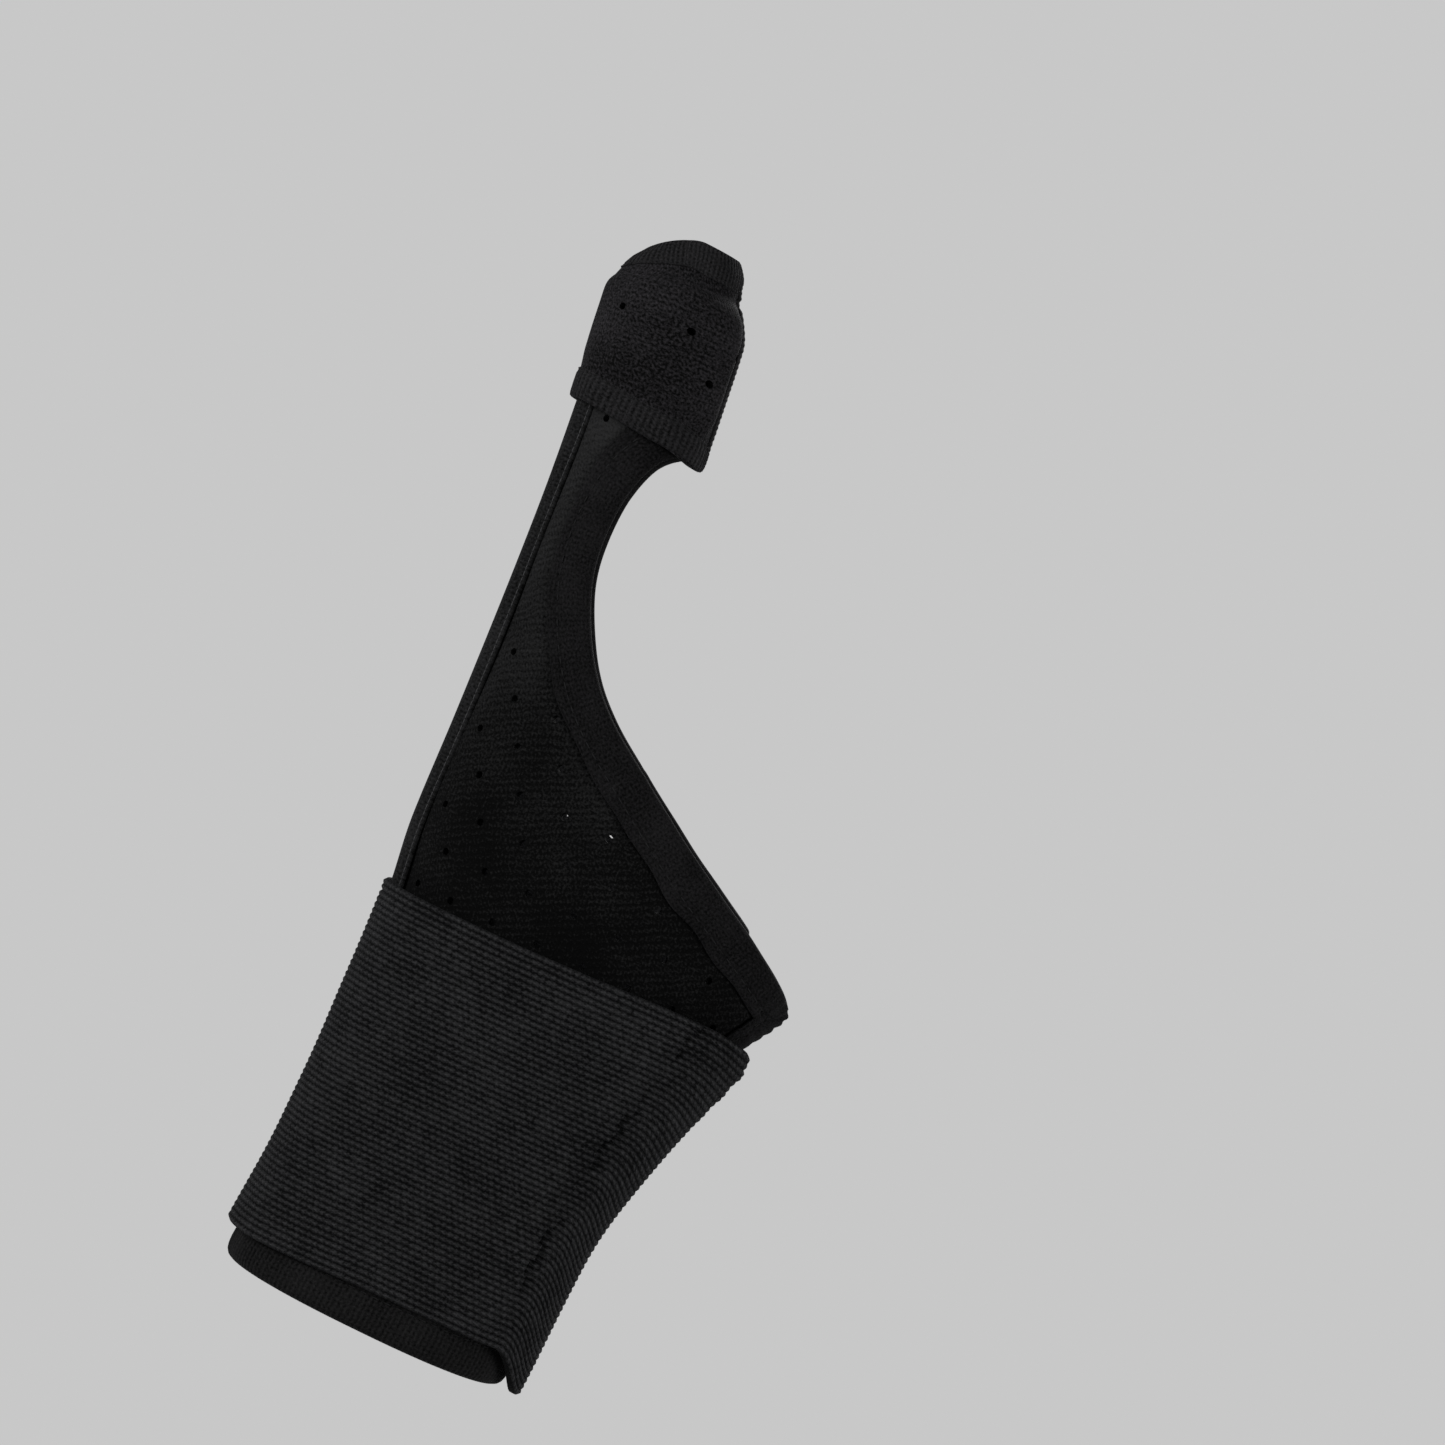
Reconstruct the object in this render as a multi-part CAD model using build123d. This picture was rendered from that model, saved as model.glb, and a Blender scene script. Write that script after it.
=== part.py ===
from build123d import *
import os
from math import cos, hypot, radians, sin, sqrt, tan

# A wrist brace with a little-finger splint, as worn on a left arm. Sizes are in millimetres.
# +Z runs from the forearm to the fingertip, +X to the thumb side, -Y to the back of the hand.
# The origin is the centre of the forearm opening, in the plane of its hem.
#
# Every layer follows one form, the limb inside the brace. A place on it is a height, a turn round
# the limb in degrees (0 thumb side, 90 palm, 180 little-finger side, 270 back of the hand) and a
# lift outward from the form.

# ---- driving dimensions ----
# heights above the hem
waist_height = 26.0
cuff_height = 74.5
corner_height = 86.0
palm_height = 106.0
knuckle_height = 146.0
finger_height = 168.0
sleeve_height = 190.0

# half depth of the limb at those heights
hem_depth = 19.5
waist_depth = 18.2
cuff_depth = 17.6
palm_depth = 15.5
knuckle_depth = 11.5

# little-finger side and thumb side of the limb at those heights
hem_ulnar, hem_radial = -24.7, 25.2
waist_ulnar, waist_radial = -23.2, 25.9
cuff_ulnar, cuff_radial = -25.2, 36.8
corner_ulnar, corner_radial = -27.2, 44.0
palm_ulnar, palm_radial = -28.3, 38.0
knuckle_ulnar, knuckle_radial = -31.2, -4.0
limb_square = 2.35

# finger
bore_radius = 7.6
finger_x = -25.3
finger_y = -1.6
finger_lean = 8.0
finger_curl = 7.0
fingertip_radius = 6.8

# thicknesses
panel_thick = 2.4
lining_thick = 0.5
tape_thick = 0.6
elastic_thick = 1.2
stay_thick = 1.0
cover_thick = 0.4
sleeve_lining_thick = 0.4
wrap_thick = 2.2
wrap_pressed = 1.0
wrap_tape = 0.4
rim_tape = 0.3
loop_thick = 0.7
hook_thick = 0.8
finger_loop_thick = 0.5
finger_hook_thick = 0.6

# clearances
seat = 0.2
bond = 0.12
parting = 0.3
hinge_gap = 0.4
seam_turn = 1.0
sleeve_clearance = 0.3

# panels
dorsal_edge_turn = 350.0
palmar_edge_turn = 50.0
sleeve_edge_turn = 8.0
binding_width = 7.0
hem_width = 9.0
sleeve_rim_width = 3.5

# free edge of the panels across the hand, seen from the back of the hand: X and height
free_edge = [
    (44.9, 72.0),
    (46.0, 80.5),
    (44.4, 85.6),
    (35.0, 91.9),
    (18.6, 100.9),
    (3.9, 110.0),
    (-6.7, 117.1),
    (-13.6, 124.0),
    (-19.5, 133.6),
    (-22.4, 142.3),
    (-22.6, 152.3),
    (-20.6, 160.0),
    (-17.0, 164.8),
    (-10.5, 167.6),
    (-2.0, 168.6),
]

# stay and its cover
stay_width = 9.0
stay_low = 17.0
stay_high = 176.0
tip_reach = 3.0
tongue_thick = 0.5
tongue_width = 6.5
cover_width = 15.0
cover_low = 9.6
cover_high = 185.0

# wrist strap
strap_low = 7.5
strap_anchor_turn = -36.0
strap_root_turn = 232.0
strap_bend_turn = 290.0
strap_end_turn = 357.0
strap_corner_radius = 8.0
end_hem_turn = 344.0
patch_margin = 4.0
loop_turns = (309.0, 347.0)
hook_turns = (317.0, 342.5)
anchor_tape_thick = 0.5
anchor_tape_turns = (-39.0, -24.0)

# finger wrap
wrap_low = 166.2
wrap_high = 202.4
wrap_start_turn = 14.0
wrap_root_turn = 226.0
wrap_bend_turn = 288.0
wrap_end_turn = 356.0
wrap_binding_width = 5.5
end_band_turn = 16.0
finger_loop_turns = (304.0, 346.0)
finger_hook_turns = (308.0, 350.0)
finger_patch_low = 173.5
finger_patch_high = 186.0

# ---- the form ----
finger_rise = 4.0
finger_radius = bore_radius + sleeve_lining_thick + sleeve_clearance
bound_lift = panel_thick + bond + tape_thick
cover_lift = panel_thick + seat + bond + stay_thick + seat + cover_thick


def finger_centre(height):
    """Middle of the finger at a height, on its leaning and curling axis."""
    rise = height - finger_height
    return finger_x - tan(radians(finger_lean)) * rise, finger_y + tan(radians(finger_curl)) * rise


def finger_station(height, radius):
    x, y = finger_centre(height)
    return height, x - radius, x + radius, y, radius, 2.0


# height, little-finger side, thumb side, middle of the depth, half depth, squareness
stations = [
    (-4.0, hem_ulnar, hem_radial, 0.0, hem_depth, limb_square),
    (waist_height, waist_ulnar, waist_radial, 0.0, waist_depth, limb_square),
    (cuff_height - 4.0, cuff_ulnar, cuff_radial, -0.8, cuff_depth, limb_square),
    (corner_height, corner_ulnar, corner_radial, -1.4, cuff_depth, limb_square),
    (palm_height, palm_ulnar, palm_radial, -2.2, palm_depth, limb_square),
    (knuckle_height, knuckle_ulnar, knuckle_radial, -2.0, knuckle_depth, 2.2),
    finger_station(finger_height, finger_radius),
    finger_station(finger_height + 5.0, finger_radius),
    finger_station(sleeve_height, finger_radius),
    finger_station(wrap_high + 4.0, fingertip_radius),
]


def ease(value, low, high):
    """0 before low, 1 after high, easing in between."""
    share = min(1.0, max(0.0, (value - low) / (high - low)))
    return share * share * (3 - 2 * share)


def form_at(height):
    """The limb's oval at a height, eased through the stations without overshoot."""
    spans = list(zip(stations, stations[1:]))
    place = next((i for i, (a, b) in enumerate(spans) if height <= b[0]), len(spans) - 1)
    low, high = spans[place]
    run = high[0] - low[0]
    t = (height - low[0]) / run
    values = []
    for k in range(1, len(low)):
        slopes = [(b[k] - a[k]) / (b[0] - a[0]) for a, b in spans]
        tangents = []
        for i in (place, place + 1):
            before, after = slopes[max(i - 1, 0)], slopes[min(i, len(slopes) - 1)]
            tangents.append(2 * before * after / (before + after) if before * after > 0 else 0.0)
        values.append(
            (2 * t**3 - 3 * t**2 + 1) * low[k]
            + (t**3 - 2 * t**2 + t) * run * tangents[0]
            + (3 * t**2 - 2 * t**3) * high[k]
            + (t**3 - t**2) * run * tangents[1]
        )
    return values


def skin(height, turn, lift):
    """The point at a height and turn, lifted square to the limb's oval."""
    ulnar, radial, middle, deep, square = form_at(height)
    half = (radial - ulnar) / 2
    c, s = cos(radians(turn)), sin(radians(turn))
    side_x, side_y = (1 if c >= 0 else -1), (1 if s >= 0 else -1)
    x = side_x * abs(c) ** (2 / square) * half
    y = side_y * abs(s) ** (2 / square) * deep
    out_x = side_x * abs(c) ** (2 - 2 / square) / half
    out_y = side_y * abs(s) ** (2 - 2 / square) / deep
    size = hypot(out_x, out_y)
    return Vector((radial + ulnar) / 2 + x + out_x / size * lift, middle + y + out_y / size * lift, height)


def turn_at(height, turn, distance, lift=panel_thick):
    """The turn that lies a distance along the oval from a given turn; negative distances go back."""
    step = 0.5 if distance > 0 else -0.5
    gone = 0.0
    here = skin(height, turn, lift)
    while gone < abs(distance):
        turn += step
        there = skin(height, turn, lift)
        gone += (there - here).length
        here = there
    return turn


def resolve(size, *place):
    return size(*place) if callable(size) else size


def levels(low, high, rise):
    """Section heights: both ends, and between them heights that every ribbon of that rise shares."""
    between = []
    height = 0.0
    while height < high:
        step = rise if height < knuckle_height - rise else min(rise, finger_rise)
        if low + step / 3 < height < high - step / 3:
            between.append(height)
        height += step
    return [low, *(between or [(low + high) / 2]), high]


def ribbon(start, stop, inner, outer, low, high, rise=6.0):
    """Cloth on the limb: its turns may follow the height, and its lifts the height and the turn."""
    middle = (low + high) / 2
    point_count = max(9, round(abs(resolve(stop, middle) - resolve(start, middle)) / 9) + 1)
    sections = []
    for height in levels(low, high, rise):
        first, last = resolve(start, height), resolve(stop, height)
        turns = [first + (last - first) * k / (point_count - 1) for k in range(point_count)]
        inside, outside = [[skin(height, t, resolve(side, height, t)) for t in turns] for side in (inner, outer)]
        edges = [
            Edge.make_spline(outside),
            Edge.make_line(outside[-1], inside[-1]),
            Edge.make_spline(inside[::-1]),
            Edge.make_line(inside[0], outside[0]),
        ]
        sections.append(Wire(edges))
    return Solid.make_loft(sections)


def main_solid(shape):
    return max(shape.solids(), key=lambda solid: solid.volume)


# ---- panels ----
def dorsal_edge(height):
    share = ease(height, knuckle_height, finger_height)
    return dorsal_edge_turn + (360 - sleeve_edge_turn - dorsal_edge_turn) * share


def palmar_edge(height):
    share = ease(height, knuckle_height, finger_height)
    return palmar_edge_turn + (sleeve_edge_turn - palmar_edge_turn) * share


def free_edge_points(shift):
    """The free edge moved square to itself, outward for a positive shift."""
    points = free_edge if shift >= 0 else free_edge[2:]
    moved = []
    for i, (x, z) in enumerate(points):
        before, after = points[max(i - 1, 0)], points[min(i + 1, len(points) - 1)]
        run_x, run_z = after[0] - before[0], after[1] - before[1]
        size = hypot(run_x, run_z)
        moved.append((x + run_z / size * shift, z - run_x / size * shift))
    return moved


def hand_cut(shift):
    """The panels' outline seen from the back of the hand, as a block through the whole depth."""
    curve = free_edge_points(shift)
    reach = 90.0
    first, last = curve[0], curve[-1]
    outline = [(reach, last[1]), (reach, 230), (-reach, 230), (-reach, -20), (reach, -20), (reach, 55), first]
    corners = [Vector(x, -reach, z) for x, z in [last] + outline]
    edges = [Edge.make_spline([Vector(x, -reach, z) for x, z in curve])]
    edges += [Edge.make_line(a, b) for a, b in zip(corners, corners[1:])]
    return extrude(Face(Wire(edges)), amount=2 * reach, dir=(0, 1, 0))


def panel_layer(edge, side, inner, outer):
    """One layer of a panel, from the little-finger seam to its edge, cut along the free edge."""
    sheet = ribbon(180 + side * seam_turn, edge, inner, outer, tape_thick + bond, sleeve_height)
    return main_solid(sheet & hand_cut(0))


def edge_binding(edge, side):
    """Tape folded over a panel's free edge and thumb-side edge, from the hem up to the finger."""
    low, high = hem_width + bond, wrap_low - 6
    inner, outer = -bond - tape_thick, bound_lift

    def beyond(distance):
        def turn(height):
            return turn_at(height, edge(height), side * distance)

        return turn

    folded = ribbon(180, beyond(bond + tape_thick), inner, outer, low, high) & hand_cut(bond + tape_thick)
    middle = ribbon(180 - 4 * side, beyond(-binding_width), inner - 1, outer + 1, low - 1, high + 1)
    filling = ribbon(180 - 4 * side, beyond(bond), -bond, panel_thick + bond, low - 1, high + 1)
    return main_solid(folded - (middle & hand_cut(-binding_width)) - (filling & hand_cut(bond)))


def hem_binding():
    """Tape folded over the forearm hem of both panels."""
    def start(height):
        return turn_at(height, palmar_edge_turn, -bond - tape_thick)

    def stop(height):
        return turn_at(height, dorsal_edge_turn, bond + tape_thick)

    def filling_start(height):
        return turn_at(height, palmar_edge_turn, -bond)

    def filling_stop(height):
        return turn_at(height, dorsal_edge_turn, bond)

    folded = ribbon(start, stop, -bond - tape_thick, bound_lift, 0, hem_width)
    filling = ribbon(filling_start, filling_stop, -bond, panel_thick + bond, tape_thick, hem_width + 1)
    return main_solid(folded - filling)


def sleeve_rim():
    """Tape folded over the fingertip end of the sleeve."""
    low, high = sleeve_height - sleeve_rim_width, sleeve_height + bond + wrap_tape
    start, stop = sleeve_edge_turn, 360 - sleeve_edge_turn
    folded = ribbon(start, stop, -bond - rim_tape, bound_lift, low, high, 2.0)
    filling = ribbon(start - 1, stop + 1, -bond, panel_thick + bond, low - 1, sleeve_height + bond, 2.0)
    return main_solid(folded - filling)


# ---- stay ----
def stay_strip(width, inner, outer, low, high):
    """A strip centred on the little-finger side, a width measured along the panel."""
    def start(height):
        return turn_at(height, 180, -width / 2)

    def stop(height):
        return turn_at(height, 180, width / 2)

    return ribbon(start, stop, inner, outer, low, high)


stay_base = panel_thick + seat + bond
tongue_base = stay_base + (stay_thick - tongue_thick) / 2


def tongue(low, high):
    return stay_strip(tongue_width, tongue_base, tongue_base + tongue_thick, low, high)


def stay():
    blade = stay_strip(stay_width, stay_base, stay_base + stay_thick, stay_low, stay_high)
    return main_solid(blade + tongue(stay_low - tip_reach, stay_low) + tongue(stay_high, stay_high + tip_reach))


def stay_tip(low, high, tongue_low, tongue_high):
    """A plastic tip moulded over the tongue at an end of the stay."""
    tip = stay_strip(stay_width, stay_base, stay_base + stay_thick, low, high)
    return main_solid(tip - tongue(tongue_low, tongue_high))


def cover():
    """Tape sewn down both sides of the stay, over the seam between the panels."""
    def lift(height, turn):
        half = turn_at(height, 180, cover_width / 2) - 180
        flat = panel_thick + seat + cover_thick
        return flat + (cover_lift - flat) * (1 - ease(abs(turn - 180) / half, 0.68, 0.96))

    sheet = stay_strip(cover_width, panel_thick + seat, lift, cover_low, cover_high)
    room_low, room_high = stay_low - 2 * tip_reach - seat, stay_high + 2 * tip_reach + seat
    room = stay_strip(stay_width + 4 * seat, panel_thick - 1, stay_base + stay_thick + seat, room_low, room_high)
    return main_solid(sheet - room)


# ---- wrist strap ----
strap_rest = bound_lift + seat
loop_base = bound_lift + parting
hook_base = loop_base + loop_thick + parting
strap_stack = hook_base + hook_thick + bond
anchor_lift = -bond - tape_thick - 2 * parting - elastic_thick


def strap_inner(height, turn):
    """Inside the panel at its anchor, outside it round the palm, over the stay, then on the patches."""
    rest = anchor_lift + (strap_rest - anchor_lift) * ease(turn, 4, palmar_edge_turn - 5)
    over_stay = 1 - ease(abs(turn - 180), 32, 52)
    on_patches = ease(turn, strap_bend_turn, hook_turns[0] - 3)
    return rest + (cover_lift + seat - strap_rest) * over_stay + (strap_stack - strap_rest) * on_patches


def strap_outer(height, turn):
    return strap_inner(height, turn) + elastic_thick


def strap(start, stop, rise=6.0):
    return ribbon(start, stop, strap_inner, strap_outer, strap_low, cuff_height, rise)


def gap_turn(root, lift):
    """The turn just past a hinge, clear of it by the hinge gap."""
    def after(height):
        return turn_at(height, root, hinge_gap, lift)

    return after


def strap_end(height):
    """The free end, its upper corner rounded."""
    share = max(0.0, 1 - (cuff_height - height) / strap_corner_radius)
    setback = strap_corner_radius * (1 - sqrt(1 - 0.97 * share**2))
    return turn_at(height, strap_end_turn, -setback) if setback > 0 else strap_end_turn


def strap_patch(turns, base, thick):
    low, high = strap_low + patch_margin, cuff_height - patch_margin
    return ribbon(turns[0], turns[1], base, base + thick, low, high)


# ---- finger wrap ----
wrap_rest = bound_lift + seat + wrap_tape / 2
finger_loop_base = panel_thick + seat
finger_hook_base = finger_loop_base + finger_loop_thick + parting
wrap_stack = finger_hook_base + finger_hook_thick + bond


def wrap_inner(height, turn):
    """Over the stay, round the finger and onto the patches, closing in above the sleeve."""
    over_stay = 1 - ease(abs(turn - 180), 42, 62)
    on_patches = ease(turn, wrap_bend_turn - 26, finger_hook_turns[0] - 8)
    over_cover = cover_lift + seat + wrap_tape / 2
    lift = wrap_rest + (over_cover - wrap_rest) * over_stay + (wrap_stack - wrap_rest) * on_patches
    return lift - (lift - 1.1) * ease(height, sleeve_height + 1.0, sleeve_height + 8.0)


def wrap_padding(height, turn):
    """Puffed in the middle, pressed flat under the bindings and along the free end."""
    band = wrap_binding_width
    puff = ease(height, wrap_low + band - 2, wrap_low + band + 3)
    puff *= 1 - ease(height, wrap_high - band - 6, wrap_high - band - 1)
    puff *= 1 - ease(turn, wrap_end_turn - end_band_turn - 6, wrap_end_turn - end_band_turn + 4)
    return wrap_pressed + (wrap_thick - wrap_pressed) * puff


def wrap_outer(height, turn):
    return wrap_inner(height, turn) + wrap_padding(height, turn)


def wrap(start, stop):
    return ribbon(start, stop, wrap_inner, wrap_outer, wrap_low, wrap_high, 2.0)


def wrap_binding(start, stop, low, high):
    """Tape sewn round an end of the wrap."""
    def inside(height, turn):
        return wrap_outer(height, turn) + seat

    def outside(height, turn):
        return wrap_outer(height, turn) + seat + wrap_tape

    return ribbon(start, stop, inside, outside, low, high, 2.0)


def finger_patch(turns, base, thick):
    return ribbon(turns[0], turns[1], base, base + thick, finger_patch_low, finger_patch_high)


def sleeve_lining():
    """A true tube on the finger's axis."""
    low, high = finger_height + 6, sleeve_height - sleeve_rim_width - 3
    foot = Vector(*finger_centre(low), low)
    head = Vector(*finger_centre(high), high)
    plane = Plane(origin=foot, z_dir=head - foot)
    length = (head - foot).length
    tube = Solid.make_cylinder(bore_radius + sleeve_lining_thick, length, plane)
    return main_solid(tube - Solid.make_cylinder(bore_radius, length, plane))


# ---- pieces ----
pieces = {}

for name, edge, side in (("dorsal", dorsal_edge, 1), ("palmar", palmar_edge, -1)):
    pieces[f"{name}_lining"] = panel_layer(edge, side, 0, lining_thick)
    pieces[f"{name}_panel"] = panel_layer(edge, side, lining_thick + bond, panel_thick)
    pieces[f"{name}_edge_binding"] = edge_binding(edge, side)
pieces["wrist_hem_binding"] = hem_binding()
pieces["sleeve_rim_binding"] = sleeve_rim()
pieces["finger_sleeve_lining"] = sleeve_lining()

pieces["ulnar_stay"] = stay()
pieces["stay_tip_lower"] = stay_tip(stay_low - 2 * tip_reach, stay_low, stay_low - tip_reach, stay_low)
pieces["stay_tip_upper"] = stay_tip(stay_high, stay_high + 2 * tip_reach, stay_high, stay_high + tip_reach)
pieces["stay_cover"] = cover()

strap_root = gap_turn(strap_root_turn, strap_rest + elastic_thick)
strap_bend = gap_turn(strap_bend_turn, strap_rest + elastic_thick)
pieces["wrist_strap_base"] = strap(strap_anchor_turn, strap_root_turn)
pieces["wrist_strap_root"] = strap(strap_root, strap_bend_turn)
pieces["wrist_strap_tip"] = strap(strap_bend, strap_end, 3.0)
pieces["wrist_strap_hook"] = strap_patch(hook_turns, hook_base, hook_thick)
pieces["wrist_strap_end_hem"] = strap_patch((end_hem_turn, strap_end_turn), hook_base, hook_thick)
pieces["wrist_strap_loop"] = strap_patch(loop_turns, loop_base, loop_thick)
pieces["strap_anchor_tape"] = strap_patch(anchor_tape_turns, anchor_lift - seat - anchor_tape_thick, anchor_tape_thick)

wrap_root = gap_turn(wrap_root_turn, wrap_rest + wrap_thick)
wrap_bend = gap_turn(wrap_bend_turn, wrap_rest + wrap_thick)
wrap_parts = {
    "base": (wrap_start_turn, wrap_root_turn),
    "root": (wrap_root, wrap_bend_turn),
    "tip": (wrap_bend, wrap_end_turn),
}
for name, (start, stop) in wrap_parts.items():
    pieces[f"finger_wrap_{name}"] = wrap(start, stop)
    pieces[f"finger_low_binding_{name}"] = wrap_binding(start, stop, wrap_low, wrap_low + wrap_binding_width)
    pieces[f"finger_top_binding_{name}"] = wrap_binding(start, stop, wrap_high - wrap_binding_width, wrap_high)
pieces["finger_wrap_hook"] = finger_patch(finger_hook_turns, finger_hook_base, finger_hook_thick)
pieces["finger_wrap_loop"] = finger_patch(finger_loop_turns, finger_loop_base, finger_loop_thick)

os.makedirs("parts", exist_ok=True)
for name, piece in pieces.items():
    piece.label = name
    export_step(piece, f"parts/{name}.step")
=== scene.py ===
import math
import bpy
import bmesh
import numpy as np
from mathutils import Matrix


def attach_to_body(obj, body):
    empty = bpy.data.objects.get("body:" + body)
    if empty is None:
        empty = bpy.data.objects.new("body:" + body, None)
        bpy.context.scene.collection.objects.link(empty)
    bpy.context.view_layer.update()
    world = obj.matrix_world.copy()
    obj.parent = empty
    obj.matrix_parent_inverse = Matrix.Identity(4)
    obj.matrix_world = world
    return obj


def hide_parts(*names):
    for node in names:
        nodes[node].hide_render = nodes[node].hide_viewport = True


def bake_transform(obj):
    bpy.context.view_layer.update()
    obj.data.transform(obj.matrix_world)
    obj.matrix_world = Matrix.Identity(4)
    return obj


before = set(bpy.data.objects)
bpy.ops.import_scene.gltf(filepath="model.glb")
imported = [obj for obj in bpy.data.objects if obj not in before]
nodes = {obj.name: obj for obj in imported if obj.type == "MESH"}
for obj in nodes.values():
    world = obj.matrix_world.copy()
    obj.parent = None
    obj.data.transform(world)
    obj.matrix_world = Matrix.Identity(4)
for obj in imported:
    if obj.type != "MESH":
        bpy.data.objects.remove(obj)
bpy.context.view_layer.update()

mm = 0.001
scene = bpy.context.scene

# the limb that every layer follows, in millimetres
finger = dict(bore=7.6, lining=0.4, room=0.3, x=-25.3, y=-1.6, lean=8.0, curl=7.0, base=168.0, tip=6.8)
panels = dict(thick=2.4, lining=0.5, bond=0.12, tape=0.6, seat=0.2, top=190.0, dorsalTurn=350.0,
              palmarTurn=50.0, sleeveTurn=8.0, hem=9.0)
fingerRadius = finger["bore"] + finger["lining"] + finger["room"]
boundLift = panels["thick"] + panels["bond"] + panels["tape"]


def fingerRow(height, radius):
    rise = height - finger["base"]
    x = finger["x"] - math.tan(math.radians(finger["lean"])) * rise
    y = finger["y"] + math.tan(math.radians(finger["curl"])) * rise
    return (height, x - radius, x + radius, y, radius, 2.0)


# height, little-finger side, thumb side, middle of the depth, half depth, squareness
limb = np.array([
    (-4.0, -24.7, 25.2, 0.0, 19.5, 2.35),
    (26.0, -23.2, 25.9, 0.0, 18.2, 2.35),
    (70.5, -25.2, 36.8, -0.8, 17.6, 2.35),
    (86.0, -27.2, 44.0, -1.4, 17.6, 2.35),
    (106.0, -28.3, 38.0, -2.2, 15.5, 2.35),
    (146.0, -31.2, -4.0, -2.0, 11.5, 2.2),
    fingerRow(168.0, fingerRadius),
    fingerRow(173.0, fingerRadius),
    fingerRow(190.0, fingerRadius),
    fingerRow(206.4, finger["tip"]),
])

# the panels' free edge across the hand: X and height
freeEdge = [(44.9, 72.0), (46.0, 80.5), (44.4, 85.6), (35.0, 91.9), (18.6, 100.9), (3.9, 110.0),
            (-6.7, 117.1), (-13.6, 124.0), (-19.5, 133.6), (-22.4, 142.3), (-22.6, 152.3), (-20.6, 160.0),
            (-17.0, 164.8),
            (-10.5, 167.6), (-2.0, 168.6)]


def ease(value, low, high):
    share = np.clip((value - low) / (high - low), 0, 1)
    return share * share * (3 - 2 * share)


def limbAt(z):
    heights, values = limb[:, 0], limb[:, 1:]
    slopes = np.diff(values, axis=0) / np.diff(heights)[:, None]
    before, after = np.vstack([slopes[:1], slopes]), np.vstack([slopes, slopes[-1:]])
    rising = before * after > 0
    tangents = np.where(rising, 2 * before * after / np.where(rising, before + after, 1), 0)
    i = np.clip(np.searchsorted(heights, z) - 1, 0, len(heights) - 2)
    run = (heights[i + 1] - heights[i])[..., None]
    t = (z[..., None] - heights[i][..., None]) / run
    return ((2 * t**3 - 3 * t**2 + 1) * values[i] + (t**3 - 2 * t**2 + t) * run * tangents[i]
            + (3 * t**2 - 2 * t**3) * values[i + 1] + (t**3 - t**2) * run * tangents[i + 1])


# points at a height and turn, lifted square to the limb
def skin(z, turn, lift):
    z, turn, lift = np.broadcast_arrays(*(np.asarray(given, float) for given in (z, turn, lift)))
    ulnar, radial, middle, deep, square = np.moveaxis(limbAt(z), -1, 0)
    half = (radial - ulnar) / 2
    c, s = np.cos(np.radians(turn)), np.sin(np.radians(turn))
    outX = np.sign(c) * np.abs(c) ** (2 - 2 / square) / half
    outY = np.sign(s) * np.abs(s) ** (2 - 2 / square) / deep
    size = np.hypot(outX, outY)
    x = (radial + ulnar) / 2 + np.sign(c) * np.abs(c) ** (2 / square) * half + outX / size * lift
    y = middle + np.sign(s) * np.abs(s) ** (2 / square) * deep + outY / size * lift
    return np.stack([x, y, z], -1) * mm


# lengths round the limb from the little-finger side, at every half millimetre of height
tableStep = 0.5
tableHeights = np.arange(-12, 212, tableStep)
tableTurns = np.arange(-60, 421, 1.0)
tablePoints = skin(tableHeights[:, None], tableTurns[None, :], panels["thick"]) / mm
tableArcs = np.zeros(tablePoints.shape[:2])
tableArcs[:, 1:] = np.cumsum(np.linalg.norm(np.diff(tablePoints, axis=1), axis=2), axis=1)
tableArcs -= tableArcs[:, tableTurns == 180.0]


# interpolates along the rows of the table, and between the two rows round each height
def lookUp(z, value, known, wanted):
    z, value = np.broadcast_arrays(np.asarray(z, float), np.asarray(value, float))
    place = (z.ravel() - tableHeights[0]) / tableStep
    low = np.clip(np.floor(place).astype(int), 0, len(tableHeights) - 2)
    share = place - low
    found = np.zeros((2, z.size))
    flat = value.ravel()
    for k in np.unique(low):
        chosen = low == k
        for side in (0, 1):
            rowKnown = known[k + side] if known.ndim == 2 else known
            rowWanted = wanted[k + side] if wanted.ndim == 2 else wanted
            found[side, chosen] = np.interp(flat[chosen], rowKnown, rowWanted)
    return (found[0] * (1 - share) + found[1] * share).reshape(z.shape)


def turnAt(z, arc):
    return lookUp(z, arc, tableArcs, tableTurns)


def arcAt(z, turn):
    return lookUp(z, turn, tableTurns, tableArcs)


# a Catmull-Rom curve through the points, resampled evenly
def smoothCurve(points, spacing):
    p = np.array([points[0]] + list(points) + [points[-1]], float)
    parts = []
    for a, b, c, d in zip(p, p[1:], p[2:], p[3:]):
        t = np.linspace(0, 1, 24, endpoint=False)[:, None]
        squared, cubed = (2 * a - 5 * b + 4 * c - d) * t**2, (3 * b - a - 3 * c + d) * t**3
        parts.append(0.5 * (2 * b + (c - a) * t + squared + cubed))
    return resample(np.vstack(parts + [p[-1:]]), spacing)


def resample(curve, spacing):
    lengths = np.concatenate([[0], np.cumsum(np.linalg.norm(np.diff(curve, axis=0), axis=1))])
    count = max(2, int(round(lengths[-1] / spacing)) + 1)
    at = np.linspace(0, lengths[-1], count)
    return np.stack([np.interp(at, lengths, curve[:, k]) for k in range(curve.shape[1])], 1)


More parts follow.
